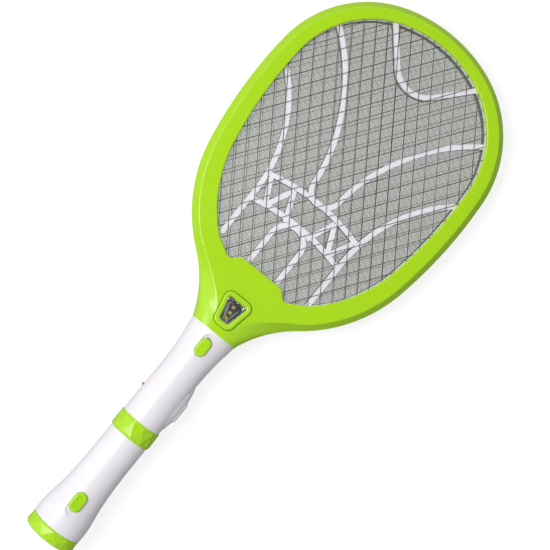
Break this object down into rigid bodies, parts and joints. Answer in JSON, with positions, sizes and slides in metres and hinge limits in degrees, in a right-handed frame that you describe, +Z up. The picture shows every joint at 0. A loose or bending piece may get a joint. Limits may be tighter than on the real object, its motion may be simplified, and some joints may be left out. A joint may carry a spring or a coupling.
{
  "type": "electric fly swatter",
  "caption": "Racket-shaped electric insect swatter with layered wire nets in a bevelled rim, a lamp in the neck, and a pull-off torch forming the end of its round handle.",
  "frame": {"origin": "middle of the footprint, on the surface the swatter lies on, under the middle of its length", "axes": "+X across the head to the power-button side, +Y from the torch to the tip of the head, +Z up out of the lamp side of the nets"},
  "size_m": [0.2052, 0.5, 0.044],
  "materials": {
    "green_plastic": "glossy yellow-green ABS",
    "white_plastic": "glossy white ABS",
    "spacer_plastic": "satin white",
    "net_steel": "bright drawn wire",
    "fine_net_metal": "fine woven wire",
    "chrome_plate": "vacuum-plated reflector",
    "clear_lens": "clear polycarbonate",
    "led_epoxy": "clear epoxy over a phosphor chip",
    "indicator_red": "red epoxy",
    "board_green": "solder-masked board",
    "black_plastic": "black nylon",
    "switch_metal": "tin-plated steel",
    "core_ferrite": "ferrite core and enamelled winding",
    "capacitor_film": "dipped film capacitor",
    "cell_wrap": "shrink-wrapped cell",
    "contact_brass": "turned brass",
    "screw_steel": "zinc-plated",
    "seal_rubber": "soft rubber"
  },
  "bodies": {
    "racket": {"head_front_cover": "green_plastic", "head_rear_cover": "green_plastic", "head_screws": "screw_steel", "front_spacer_grid": "spacer_plastic", "rear_spacer_grid": "spacer_plastic", "front_net": "net_steel", "rear_net": "net_steel", "centre_net": "fine_net_metal", "lamp_bezel": "green_plastic", "lamp_lens": "clear_lens", "lamp_reflector": "chrome_plate", "lamp_leds": "led_epoxy", "lamp_board": "board_green", "handle_front_shell": "white_plastic", "handle_rear_shell": "white_plastic", "handle_screws": "screw_steel", "collar_ring": "green_plastic", "lamp_slide_switch": "switch_metal", "power_tact_switch": "black_plastic", "indicator_led": "indicator_red", "voltage_board": "board_green", "step_up_transformer": "core_ferrite", "storage_capacitor": "capacitor_film", "rectifier_parts": "black_plastic", "socket_contacts": "contact_brass"},
    "torch": {"torch_body": "white_plastic", "torch_bezel": "green_plastic", "torch_lens": "clear_lens", "lens_seal": "seal_rubber", "torch_reflector": "chrome_plate", "torch_led": "led_epoxy", "torch_led_board": "board_green", "torch_slide_switch": "switch_metal", "torch_cell": "cell_wrap", "charging_board": "board_green", "dropper_capacitor": "capacitor_film", "charging_pins": "contact_brass"},
    "torch_switch": {"torch_switch_knob": "green_plastic"},
    "lamp_switch": {"lamp_switch_knob": "green_plastic"},
    "power_button": {"power_button": "white_plastic"}
  },
  "joints": [
    {"name": "torch_pull", "type": "slide", "parent": "racket", "child": "torch", "axis": [0, -1, 0], "range_m": [0, 0.06]},
    {"name": "torch_switch_slide", "type": "slide", "parent": "torch", "child": "torch_switch", "axis": [0, -0.9905, 0.1374], "range_m": [0, 0.004]},
    {"name": "lamp_switch_slide", "type": "slide", "parent": "racket", "child": "lamp_switch", "axis": [0, 1, 0], "range_m": [0, 0.0035]},
    {"name": "power_button_press", "type": "slide", "parent": "racket", "child": "power_button", "axis": [-1, 0, 0], "range_m": [0, 0.002], "stiffness_N_per_m": 400, "springref_m": -0.0005}
  ]
}
